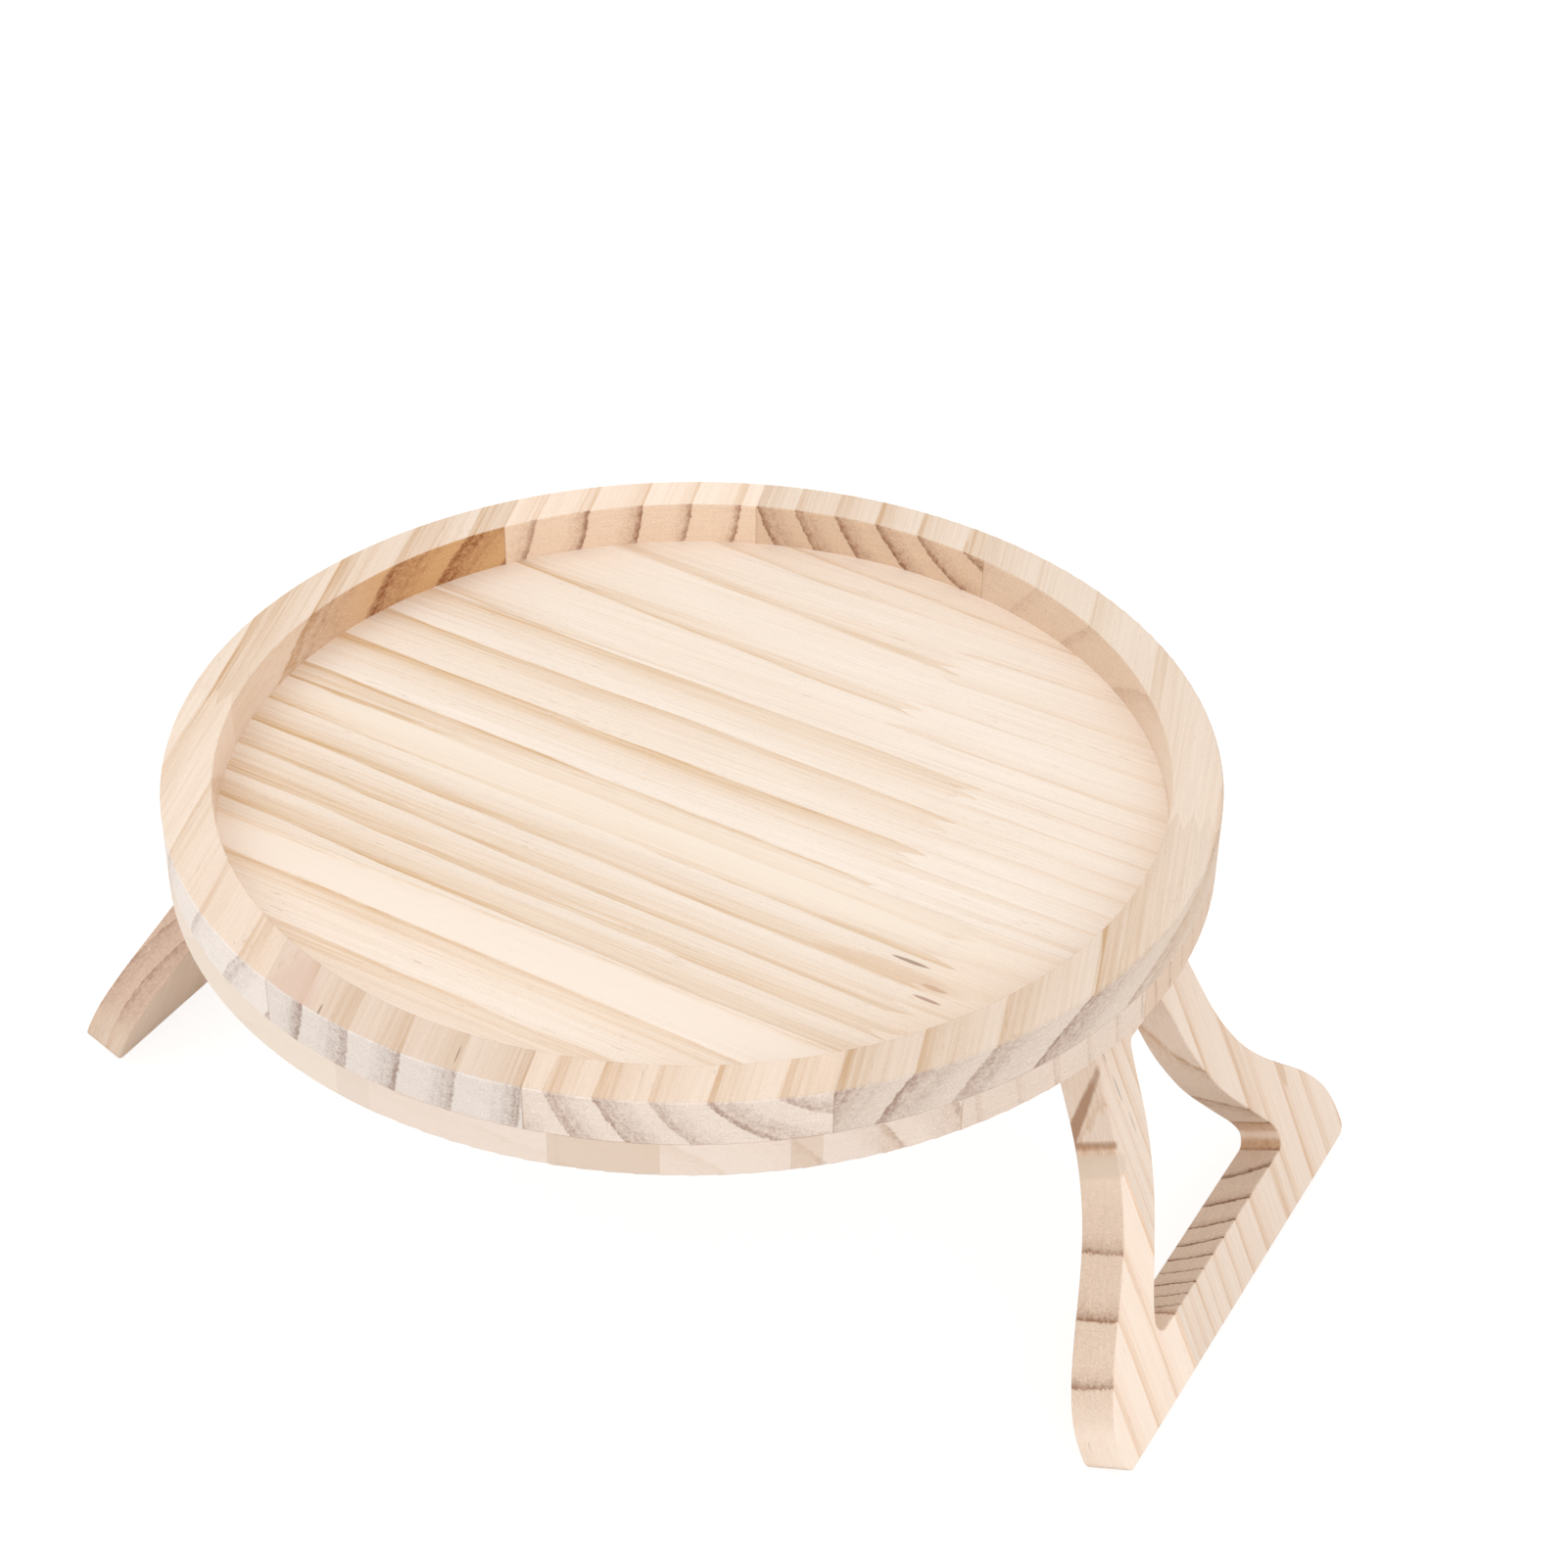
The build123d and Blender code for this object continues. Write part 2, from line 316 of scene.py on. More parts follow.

# What is left of the painted light, a lighter and greyer end grain, on pale and on
# brown end grain
PAINTED_LIGHT_BY_TONE = (0.0, 1.0, 1.0, 0.2)
END_LATEWOOD = (0.06, 0.72, 0.0, 1.0)
LIGHT_SPECKS = (0.72, 0.78, 0.0, 0.6)
DARK_SPECKS = (0.27, 0.22, 0.0, 0.45)


@dataclass(frozen=True)
class Spot:
    """A point of the wood, as the nodes that work it out.

    Attributes:
        add: Adds a node to the tree that they are in.
        metres: The point from the panel's origin, in the model's own axes.
        u: The mm along the grain.
        v: The mm across it.
        w: The mm through the panel.
        uvw: These three as one vector.
    """

    add: Adder
    metres: Node
    u: Node
    v: Node
    w: Node
    uvw: Node


@dataclass(frozen=True)
class Wood:
    """What the wood is like at a point, as nodes that mostly give 0 to 1.

    Attributes:
        board: The values of the board that it is in, by name.
        late: How much latewood there is.
        line: How near it is to the sharp end of a ring.
        fibre: The fibres' own pattern.
        dashes: The resin dashes.
        silk: The silky streaks.
        shine: The share by which the board is lighter or darker.
    """

    board: dict[str, Feed]
    late: Node
    line: Node
    fibre: Node
    dashes: Node
    silk: Node
    shine: Node


@dataclass(frozen=True)
class RawPine:
    """Radiata pine, finger-jointed and edge-glued, sanded and left raw.

    It gives the eye wide cream earlywood that deepens to ochre latewood and
    stops sharply at each ring's end, short resin dashes along the grain, and
    darker, speckled end grain. Outside the painted light radius the end grain
    is painted lighter and greyer: painted light, for the outer wall's light.
    Lengths are in mm, but the origin and that radius are in metres. The value
    uneven says how much the rings differ, and fade how much they pale along
    the panel, both from 0 to 1.
    """

    name: str
    origin: Triple
    grain: Triple
    staves: tuple[Stave, ...]
    marks: tuple[Mark, ...] = ()
    fingers: tuple[Finger, ...] = ()
    finger_radius: float = 124.4
    pale: str = "#F8EADC"
    ochre: str = "#DDB88C"
    ring_line: str = "#B98C5C"
    pink: str = "#F2DCC6"
    dash: str = "#A67F5C"
    end_pale: str = "#E9D3BE"
    end_tan: str = "#D8A975"
    end_late: str = "#B48E72"
    end_brown: str = "#93501F"
    end_line: str = "#7F4F38"
    # Painted light: the lighter, greyer end grain colours of the outer wall, standing
    # in for the light on it
    end_painted_light: str = "#F7ECE4"
    end_painted_light_late: str = "#BAA498"
    fade: float = 0.0
    face_line: float = 0.12
    uneven: float = 0.3
    end_span: tuple[float, float] = (0.14, 0.62)
    # Painted light: outside the radius below, in metres, the end grain is painted
    # lighter and greyer, with its ring lines at this strength
    painted_light_line: float = 0.12
    painted_light_radius: float = 0.0
    finger_pitch: float = 3.7
    finger_length: float = 7.2
    seed: float = 0.0
    ior: float = 1.5
    specular: float = 0.35
    roughness: Range = (0.3, 0.7, 0.74, 0.60)
    relief: float = 0.35
    relief_depth: float = 0.12
    fibre_height: float = 0.5
    dash_height: float = -0.8
    late_height: float = 0.35

    def material(self) -> Finish:
        """Builds the solid pine as a node material.

        Returns:
            The material.
        """
        material = bpy.data.materials.new(self.name)
        add = empty_nodes(material)
        place = add("TexCoord")
        spot = self._spot(add, place)
        wood = self._wood(spot)
        face = self._face_colour(spot, wood)
        end = self._end_colour(spot, wood)
        along = Vector(self.grain).normalized()
        facing = add(
            "VectorMath", place.outputs["Normal"], along, operation="DOT_PRODUCT"
        )
        facing = add("Math", facing, operation="ABSOLUTE")
        end_share = add(
            "MapRange", facing, *self.end_span, interpolation_type="SMOOTHSTEP"
        )
        colour = add("Mix", end_share, face, end, data_type="RGBA")
        height: Any = 0.0
        for part, rise in (
            (wood.fibre, self.fibre_height),
            (wood.dashes, self.dash_height),
            (wood.late, self.late_height),
        ):
            height = add("Math", part, rise, height, operation="MULTIPLY_ADD")
        bump = add("Bump", self.relief, self.relief_depth * MM, None, height)
        rough = add("MapRange", wood.fibre, *self.roughness)
        shader = add("BsdfPrincipled", colour, None, rough, self.ior, None, bump)
        shader.inputs["Specular IOR Level"].default_value = self.specular
        add("OutputMaterial", shader)
        return material

    def _spot(self, add: Adder, place: Node) -> Spot:
        """Turns the model's metres into mm along, across and through the panel.

        Args:
            add: Adds a node to the material.
            place: The node that gives the model's own coordinates.

        Returns:
            The point in the panel.
        """
        along = Vector(self.grain).normalized()
        if along.z:
            across = Vector((0, 1, 0))
        else:
            across = Vector((-along.y, along.x, 0)).normalized()
            across *= 1 if across.x + across.y > 0 else -1
        depth = along.cross(across)
        depth *= 1 if depth.z > 0 else -1
        metres = add(
            "VectorMath", place.outputs["Object"], self.origin, operation="SUBTRACT"
        )
        u, v, w = (
            add("VectorMath", metres, axis * MM_PER_METRE, operation="DOT_PRODUCT")
            for axis in (along, across, depth)
        )
        return Spot(add, metres, u, v, w, add("CombineXYZ", u, v, w))

    def _noise(self, spot: Spot, noise: Noise, start: float = 0.0) -> Node:
        """Draws one of the wood's irregular patterns.

        Args:
            spot: The point in the panel.
            noise: The pattern.
            start: How far past its own place it is read.

        Returns:
            The pattern, stretched where it has a reach.
        """
        add = spot.add
        scale = Vector([1 / size for size in noise.sizes])
        offset = NOISE_STEP * (noise.place + start + self.seed)
        point = add("VectorMath", spot.uvw, scale, offset, operation="MULTIPLY_ADD")
        drawn = add("TexNoise", point, 1.0, noise.detail, NOISE_ROUGHNESS)
        if noise.reach is None:
            return drawn
        return add("MapRange", drawn, *noise.reach)

    def _board(self, spot: Spot) -> dict[str, Feed]:
        """Finds which board a point is in.

        Args:
            spot: The point in the panel.

        Returns:
            The board's number and its own values, by name.
        """
        add = spot.add
        index: Any = 0.0
        for stave in self.staves[:-1]:
            past = add("Math", spot.v, stave.far_edge, operation="GREATER_THAN")
            index = add("Math", past, index, operation="ADD")
        low, span = SPANS["joint"]
        rows = [[(stave.joint - low) / span] * 4 for stave in self.staves]
        joints = self._table(add, index, rows)
        joint = add(
            "Math", joints.outputs["Alpha"], span, low, operation="MULTIPLY_ADD"
        )
        # The fingers zigzag across the stave, from the joint to their length on
        finger = add("Math", spot.v, self.finger_pitch / 2, operation="PINGPONG")
        slope = 2 * self.finger_length / self.finger_pitch
        border = add("Math", finger, slope, joint, operation="MULTIPLY_ADD")
        side = add("Math", spot.u, border, operation="GREATER_THAN")
        number = add("Math", index, 2.0, side, operation="MULTIPLY_ADD")
        boards = []
        for stave in self.staves:
            boards += [stave.near, stave.beyond or stave.near]
        values: dict[str, Feed] = {"number": number}
        for names in TABLES:
            spans = [SPANS.get(name, UNIT_SPAN) for name in names]
            rows = []
            for board in boards:
                row = zip((getattr(board, name) for name in names), spans)
                rows.append([(value - low) / span for value, (low, span) in row])
            table = self._table(add, number, rows)
            parts = add("SeparateColor", table)
            entries = [*parts.outputs, table.outputs["Alpha"]]
            for name, entry, (low, span) in zip(names, entries, spans):
                if span != 1:
                    entry = add("Math", entry, span, low, operation="MULTIPLY_ADD")
                values[name] = entry
        return values

    @staticmethod
    def _table(add: Adder, index: Feed, rows: list[list[float]]) -> Node:
        """Looks up one row of four values, in a ramp of flat steps.

        Args:
            add: Adds a node to the material.
            index: The row's number, counted from 0.
            rows: The rows, with entries from 0 to 1.

        Returns:
            The ramp, whose colour and alpha are the row.
        """
        count = len(rows)
        cell = add("Math", index, 1 / count, 0.5 / count, operation="MULTIPLY_ADD")
        table = add("ValToRGB", cell)
        ramp = table.color_ramp
        ramp.interpolation = "CONSTANT"
        ramp.elements[0].color = rows[0]
        ramp.elements[1].position = 1 / count
        ramp.elements[1].color = rows[1]
        for i, row in enumerate(rows[2:], 2):
            ramp.elements.new(i / count).color = row
        return table

    def _rings(self, spot: Spot, board: dict[str, Feed]) -> tuple[Node, Node]:
        """Counts the growth rings from the pith.

        Args:
            spot: The point in the panel.
            board: The values of its board.

        Returns:
            The mm from the pith, and the count of rings.
        """
        add = spot.add
        sway = self._noise(spot, SWAY)
        straight = add("Math", spot.u, board["drift"], operation="MULTIPLY")
        across = spot.v
        pith = board["pith_across"]
        for step, value in (("SUBTRACT", straight), ("ADD", sway), ("SUBTRACT", pith)):
            across = add("Math", across, value, operation=step)
        depth = add("Math", spot.w, board["pith_depth"], operation="SUBTRACT")
        flat = add("CombineXYZ", across, depth, 0.0)
        reach = add("VectorMath", flat, operation="LENGTH")
        waver = self._noise(spot, WAVER)
        reach = add("Math", reach, waver, operation="ADD")
        turns = reach
        for step, value in (
            ("DIVIDE", board["ring_width"]),
            ("POWER", board["growth"]),
            ("ADD", board["ring_phase"]),
        ):
            turns = add("Math", turns, value, operation=step)
        return reach, turns

    def _wood(self, spot: Spot) -> Wood:
        """Works out rings, fibres and resin dashes at a point.

        Args:
            spot: The point in the panel.

        Returns:
            What the wood is like there.
        """
        add = spot.add
        board = self._board(spot)
        reach, turns = self._rings(spot, board)
        ring = add("Math", turns, operation="FLOOR")
        share = add("Math", turns, operation="FRACT")
        key = add("CombineXYZ", ring, board["number"], self.seed + 0.5)
        luck = add("TexWhiteNoise", key, noise_dimensions="3D")
        lucks = add("SeparateColor", luck.outputs["Color"])
        weakest = WEAKEST_RING - self.uneven
        strength = add("MapRange", lucks.outputs[0], 0.0, 1.0, weakest, 1.0)
        strength = add("Math", strength, board["contrast"], operation="MULTIPLY")
        steep = add("MapRange", board["band"], *STEEPNESS)
        least, most = 1 - STEEPNESS_SPREAD * self.uneven, 1 + self.uneven
        spread = add("MapRange", lucks.outputs[1], 0.0, 1.0, least, most)
        steep = add("Math", steep, spread, operation="MULTIPLY")
        rise = add("Math", share, steep, operation="POWER")
        crest = add("Math", rise, CREST_POWER, operation="POWER")
        rise = add("Mix", CREST_SHARE, rise, crest)
        back = add("MapRange", share, *RUN_OVER)
        late = add("Math", rise, back, operation="MAXIMUM")
        patches = self._noise(spot, PATCHES)
        silk = self._noise(spot, SILK)
        breaks = add("MapRange", silk, *SILK_BREAKS)
        stripes = add("CombineXYZ", reach, board["number"], self.seed)
        stripes = add("TexNoise", stripes, STRIPE_SCALE, 2.0, STRIPE_ROUGHNESS)
        stripes = add("MapRange", stripes, *STRIPES)
        fade = add("MapRange", spot.u, FADE_FROM, FADE_TO, 1 + self.fade, 1 - self.fade)
        for factor in (breaks, stripes, patches, fade):
            late = add("Math", late, factor, operation="MULTIPLY")
        late = add("Math", late, strength, operation="MULTIPLY", use_clamp=True)
        line = add("MapRange", share, *RING_END, interpolation_type="SMOOTHSTEP")
        line = add("Math", line, strength, operation="MULTIPLY")
        line = add("Math", line, patches, operation="MULTIPLY", use_clamp=True)
        specks = self._noise(spot, RESIN_DASHES)
        limit = self._noise(spot, DASH_LIMIT)
        dashes = add("Math", specks, limit, operation="SUBTRACT")
        return Wood(
            board=board,
            late=late,
            line=line,
            fibre=self._noise(spot, FIBRES),
            dashes=add("MapRange", dashes, *DASH_EDGE),
            silk=silk,
            shine=add("MapRange", board["shade"], *SHADES),
        )

    def _face_colour(self, spot: Spot, wood: Wood) -> Node:
        """Colours the cut along the grain.

        Args:
            spot: The point in the panel.
            wood: What the wood is like there.

        Returns:
            The colour.
        """
        add = spot.add
        warm = self._noise(spot, PINK_CLOUDS)
        warm = add("Math", warm, wood.board["tone"], operation="ADD")
        warm = add("Math", warm, PLAIN_TONE, operation="SUBTRACT", use_clamp=True)
        silk = add("Math", wood.silk, SILK_POWER, operation="POWER")
        silk = add("Math", silk, SILK_SHARE, operation="MULTIPLY")
        line = add("Math", wood.line, self.face_line, operation="MULTIPLY")
        colour: Any = self.pale
        for share, tint in (
            (warm, self.pink),
            (wood.late, self.ochre),
            (silk, self.ochre),
            (line, self.ring_line),
        ):
            colour = add("Mix", share, colour, tint, data_type="RGBA")
        fibre = add("MapRange", wood.fibre, *FIBRE_SHADES)
        for factor in (fibre, self._noise(spot, DUST), wood.shine):
            colour = add("VectorMath", colour, factor, operation="SCALE")
        dashes = add("Math", wood.dashes, DASH_SHARE, operation="MULTIPLY")
        colour = add("Mix", dashes, colour, self.dash, data_type="RGBA")
        colour = self._glue_lines(spot, colour, FACE_GLUE)
        for finger in self.fingers:
            colour = self._fingered(spot, colour, finger)
        for mark in self.marks:
            colour = self._marked(spot, colour, mark)
        return colour

    def _fingered(self, spot: Spot, colour: Node, finger: Finger) -> Node:
        """Tints one finger on the front of the disc's edge.

        Args:
            spot: The point in the panel.
            colour: The colour under it.
            finger: The finger.

        Returns:
            The colour with the finger.
        """
        add = spot.add
        middle = (finger.start + finger.end) / 2
        half = (finger.end - finger.start) / 2
        share = add("Math", spot.u, middle, half, operation="COMPARE")
        edge = add("VectorMath", spot.uvw, (1.0, 1.0, 0.0), operation="MULTIPLY")
        edge = add("VectorMath", edge, operation="LENGTH")
        edge = add("Math", edge, self.finger_radius, operation="GREATER_THAN")
        front = add("Math", spot.v, 0.0, operation="LESS_THAN")
        for factor in (edge, front, finger.strength):
            share = add("Math", share, factor, operation="MULTIPLY")
        return add("Mix", share, colour, finger.colour, data_type="RGBA")

    def _glue_lines(self, spot: Spot, colour: Node, strength: float) -> Node:
        """Draws the hairlines where the staves are glued edge to edge.

        Args:
            spot: The point in the panel.
            colour: The colour under them.
            strength: How strong they are, from 0 to 1.

        Returns:
            The colour with the lines.
        """
        add = spot.add
        for stave in self.staves[:-1]:
            gap = add("Math", spot.v, stave.far_edge, operation="SUBTRACT")
            gap = add("Math", gap, operation="ABSOLUTE")
            seam = add("MapRange", gap, GLUE_FULL, GLUE_GONE, strength, 0.0)
            colour = add("Mix", seam, colour, self.dash, data_type="RGBA")
        return colour

    def _marked(self, spot: Spot, colour: Node, mark: Mark) -> Node:
        """Lays one oval mark with a frayed edge over a colour.

        Args:
            spot: The point in the panel.
            colour: The colour under it.
            mark: The mark.

        Returns:
            The colour with the mark.
        """
        add = spot.add
        middle = (mark.along, mark.across, 0.0)
        scale = (2 / mark.length, 2 / mark.width, 0.0)
        offset = add("VectorMath", spot.uvw, middle, operation="SUBTRACT")
        if mark.slope:
            lean = (0, 0, mark.slope)
            lean = add("VectorMath", spot.uvw, lean, operation="DOT_PRODUCT")
            lean = add("CombineXYZ", lean, 0.0, 0.0)
            offset = add("VectorMath", offset, lean, operation="SUBTRACT")
        offset = add("VectorMath", offset, scale, operation="MULTIPLY")
        reach = add("VectorMath", offset, operation="LENGTH")
        fray = self._noise(spot, MARK_FRAY, mark.along)
        ragged = LEANING_MARK_RAGGED if mark.slope else MARK_RAGGED
        reach = add("Math", fray, ragged, reach, operation="MULTIPLY_ADD")
        share = add("MapRange", reach, MARK_FULL, MARK_GONE, mark.strength, 0.0)
        return add("Mix", share, colour, mark.colour, data_type="RGBA")

    def _end_colour(self, spot: Spot, wood: Wood) -> Node:
        """Colours the cut across the grain.

        Args:
            spot: The point in the panel.
            wood: What the wood is like there.

        Returns:
            The colour.
        """
        add = spot.add
        tone = wood.board["end_tone"]
        pale = add("Mix", tone, self.end_pale, self.end_tan, data_type="RGBA")
        late = add("Mix", tone, self.end_late, self.end_brown, data_type="RGBA")
        line = add("Math", wood.line, wood.board["end_line"], operation="MULTIPLY")
        # Painted light: outside the radius the end grain is painted lighter and greyer,
        # less so where it is brown, and its ring lines weaken, for the light on the
        # outer wall
        if self.painted_light_radius:
            flat = (1.0, 1.0, 0.0)
            radius = add("VectorMath", spot.metres, flat, operation="MULTIPLY")
            radius = add("VectorMath", radius, operation="LENGTH")
            edges = (self.painted_light_radius - MM, self.painted_light_radius + MM)
            outside = add("MapRange", radius, *edges)
            painted_light_share = add("MapRange", tone, *PAINTED_LIGHT_BY_TONE)
            painted_light_share = add("Math", painted_light_share, outside, operation="MULTIPLY")
            pale = add("Mix", painted_light_share, pale, self.end_painted_light, data_type="RGBA")
            late = add("Mix", painted_light_share, late, self.end_painted_light_late, data_type="RGBA")
            soft = add("MapRange", outside, 0.0, 1.0, 1.0, self.painted_light_line)
            line = add("Math", line, soft, operation="MULTIPLY")
        dark = add("MapRange", wood.late, *END_LATEWOOD)
        colour = add("Mix", dark, pale, late, data_type="RGBA")
        colour = add("Mix", line, colour, self.end_line, data_type="RGBA")
        for pattern in (SANDING_STREAKS, PORES):
            factor = self._noise(spot, pattern)
            colour = add("VectorMath", colour, factor, operation="SCALE")
        resin = self._noise(spot, RESIN_SPECKS)
        for reach, tint in ((LIGHT_SPECKS, self.pale), (DARK_SPECKS, self.end_line)):
            specks = add("MapRange", resin, *reach)
            colour = add("Mix", specks, colour, tint, data_type="RGBA")
        colour = self._glue_lines(spot, colour, END_GLUE)
        for mark in self.marks:
            if mark.slope:
                colour = self._marked(spot, colour, mark)
        return add("VectorMath", colour, wood.shine, operation="SCALE")


class Polish(Enum):
    """How a plated or drawn steel surface was left, as its roughness."""

    BRIGHT = 0.14
    TUMBLED = 0.26
    DRAWN = 0.22
    DULL = 0.45


@dataclass(frozen=True)
class PlatedSteel:
    """Nickel-plated mild steel, stamped or drawn.

    It gives the eye a slightly warm mirror with faint rolling lines and soft
    smudges in its gloss, 4 mm apart. The lines are finer than a picture can
    show and are drawn coarser. Lengths are in mm.
    """

    name: str
    colour: str = "#CFCBC4"
    shade: str = "#B4AFA7"
    polish: Polish = Polish.BRIGHT
    line_width: float = 0.18
    line_stretch: tuple[int, int, int] = (60, 1000, 1000)
    line_scale: float = 0.35
    smudges_per_metre: float = 260.0
    smudge_reach: Range = (0.35, 0.7, 0.0, 1.0)
    gloss_reach: tuple[float, float] = (0.15, 0.45)
    roughness_spread: tuple[float, float] = (0.7, 1.6)
    relief: float = 0.25
    relief_depth: float = 0.01

    def material(self) -> Finish:
        """Builds the plated steel as a node material.

        Returns:
            The material.
        """
        material = bpy.data.materials.new(self.name)
        add = empty_nodes(material)
        place = add("TexCoord").outputs["Object"]
        stretch = Vector(self.line_stretch) / self.line_width
        lines = add("VectorMath", place, stretch, operation="MULTIPLY")
        lines = add("TexNoise", lines, self.line_scale, 2.0, 0.5)
        smudge = add("TexNoise", place, self.smudges_per_metre, 3.0, 0.6)
        tone = add("MapRange", smudge, *self.smudge_reach)
        colour = add("Mix", tone, self.colour, self.shade, data_type="RGBA")
        gloss = add("Math", lines, smudge, operation="MULTIPLY")
        ends = (self.polish.value * share for share in self.roughness_spread)
        rough = add("MapRange", gloss, *self.gloss_reach, *ends)
        bump = add("Bump", self.relief, self.relief_depth * MM, None, lines)
        shader = add("BsdfPrincipled", colour, 1.0, rough, None, None, bump)
        add("OutputMaterial", shader)
        return material


@dataclass
class Tray:
    """The disc, the rim ring on it and the brads that hold them."""

    brads: int = 4
    disc: str = "tray_base"
    ring: str = "rim_ring"

    def dress(self, solids: Solids) -> None:
        """Gives the tray's solids their finish.

        Args:
            solids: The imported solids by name.
        """
        dress(solids[self.disc], self.disc_panel().material())
        dress(solids[self.ring], self.ring_panel().material())
        steel = PlatedSteel("brad_steel_drawn", "#4A4541", "#2E2A27", Polish.DULL)
        brad_finish = steel.material()
        for number in range(1, self.brads + 1):
            dress(solids[f"rim_brad_{number}"], brad_finish)
        LOG.info("dressed %s, %s and %d brads", self.disc, self.ring, self.brads)

    @staticmethod
    def disc_panel() -> RawPine:
        """Describes the disc's panel: staves across the tray, grain from left to right.

        Returns:
            The panel's wood.
        """
        front = Board(
            -170, -50, 12.05, 0.134, -0.02, 0.4, 0.5, 0.6, 0.1, 0.3, shade=0.6
        )
        second = replace(
            front, contrast=1.0, band=0.92, tone=0.5, end_tone=0.0, shade=0.65
        )
        third = Board(60, -45, 8.57, 0.43, -0.032, 1.0, 0.95, 0.7, shade=0.4)
        third_right = Board(140, 30, 9.5, 0.3, 0.02, 0.55, 0.5, 0.9, 0.1, 0.1)
        fourth = Board(-70, -40, 13.6, 0.434, -0.032, 1.0, 0.92)
        fourth_right = Board(-120, -20, 7.0, 0.46, -0.005, 0.6, 0.45, end_line=0.1)
        fifth = Board(260, -60, 21.0, 0.81, -0.07, 0.8, 0.45)
        fifth_right = Board(200, -30, 12.2, 0.2, -0.01, 0.45, tone=0.45)
        back = Board(220, -30, 9.4, 0.1, -0.08, 0.6, 0.6)
        return RawPine(
            name="pine_sanded_disc",
            origin=(0.0, 0.0, 0.09709),
            grain=(0.99982, -0.01885, 0.0),
            staves=(
                Stave(-118.5, front),
                Stave(-65.0, second),
                Stave(-11.5, third, 78.5, third_right),
                Stave(40.2, fourth, 53.2, fourth_right),
                Stave(95.5, fifth, 25.0, fifth_right),
                Stave(200.0, back),
            ),
            marks=(
                Mark(-8.0, -18.5, 230.0, 20.0, "#F8E8D6", 0.6),
                Mark(-8.0, -71.0, 260.0, 14.0, "#F8E9DA", 0.8),
                Mark(75.5, -30.4, 10.5, 1.3, "#93705A", 0.75),
                Mark(84.3, -36.0, 7.0, 1.7, "#BE9479", 0.75),
                Mark(84.6, -40.2, 7.5, 1.2, "#A67C64", 0.7),
                Mark(73.0, -35.5, 40.0, 7.0, "#DFBE9D", 0.45),
            ),
            fingers=(
                # The first tints the whole front edge pinker and a little darker:
                # painted shade, not a finger
                Finger(-125.0, 125.0, "#F1DFD4", 0.6),
                Finger(-90.0, -13.0, "#F6E7D6", 0.6),
                Finger(-13.0, -4.0, "#E9D6C6", 0.4),
                Finger(37.6, 59.6, "#DEC6AF", 0.6),
                Finger(82.0, 87.1, "#DFC6B0", 0.8),
                Finger(95.9, 101.2, "#DFC6B0", 0.5),
                Finger(87.1, 95.9, "#ECDCD1", 0.5),
                Finger(101.2, 125.0, "#E3D0C3", 0.7),
            ),
            fade=0.3,
            end_pale="#EFDDCF",
            end_span=(0.55, 0.95),
            seed=1.0,
        )

    @staticmethod
    def ring_panel() -> RawPine:
        """Describes the rim's panel: staves at a slant, with end grain front and back.

        Returns:
            The panel's wood.
        """
        # Each stave's first board is at the back, and the other at the front
        left = Board(-40, -25, 12.0, 0.85, 0.0, 1.0, 0.98, 0.6, 0.95, 0.15)
        left_front = Board(
            -40, -25, 12.0, 0.85, 0.0, 0.65, 0.8, 0.6, 0.05, 0.1, shade=0.6
        )
        second = Board(
            -150, 17, 12.8, 0.242, 0.0, 0.8, 0.55, 0.6, 0.12, 0.75, shade=1.0
        )
        second_front = Board(
            -150, 17, 0.049, 0.773, 0.0, 1.0, 0.85, 0.8, 0.12, 0.5, 0.4, 0.24
        )
        third = Board(69, 33.6, 9.9, 0.404, -0.026, 1.0, 0.88, 0.55, 0.3, shade=0.42)
        third_front = Board(
            69, 33.6, 9.9, 0.404, -0.026, 0.7, 0.92, 0.7, 0.4, 0.3, shade=0.6
        )
        right = Board(
            156.6, -53, 12.6, 0.698, 0.0, 0.35, 0.85, 0.5, 0.15, 0.05, shade=0.33
        )
        right_front = Board(
            156.6, -53, 12.6, 0.698, 0.0, 0.9, 0.95, 0.55, 0.45, 0.3, shade=0.2
        )
        return RawPine(
            name="pine_sanded_ring",
            origin=(0.0, 0.0, 0.10729),
            grain=(0.3093, -0.9510, 0.0),
            staves=(
                Stave(-71.0, left, 0.0, left_front),
                Stave(-8.4, second, 0.0, second_front),
                Stave(54.8, third, 0.0, third_front),
                Stave(200.0, right, 0.0, right_front),
            ),
            marks=(
                Mark(118.0, -64.5, 60.0, 15.0, "#E0C2B0", 0.75),
                Mark(110.0, -56.5, 5.0, 0.6, "#8E7565", 0.7),
                Mark(114.0, -55.4, 4.0, 0.5, "#8E7565", 0.7),
                Mark(117.5, -24.0, 6.0, 0.5, "#A08573", 0.7),
            ),
            # From this radius out the end grain is painted lighter and greyer: painted
            # light on the outer wall
            painted_light_radius=0.119,
            pale="#F2E0CE",
            pink="#E8CDB8",
            ochre="#CFA67A",
            face_line=0.06,
            uneven=0.35,
            seed=4.0,
        )


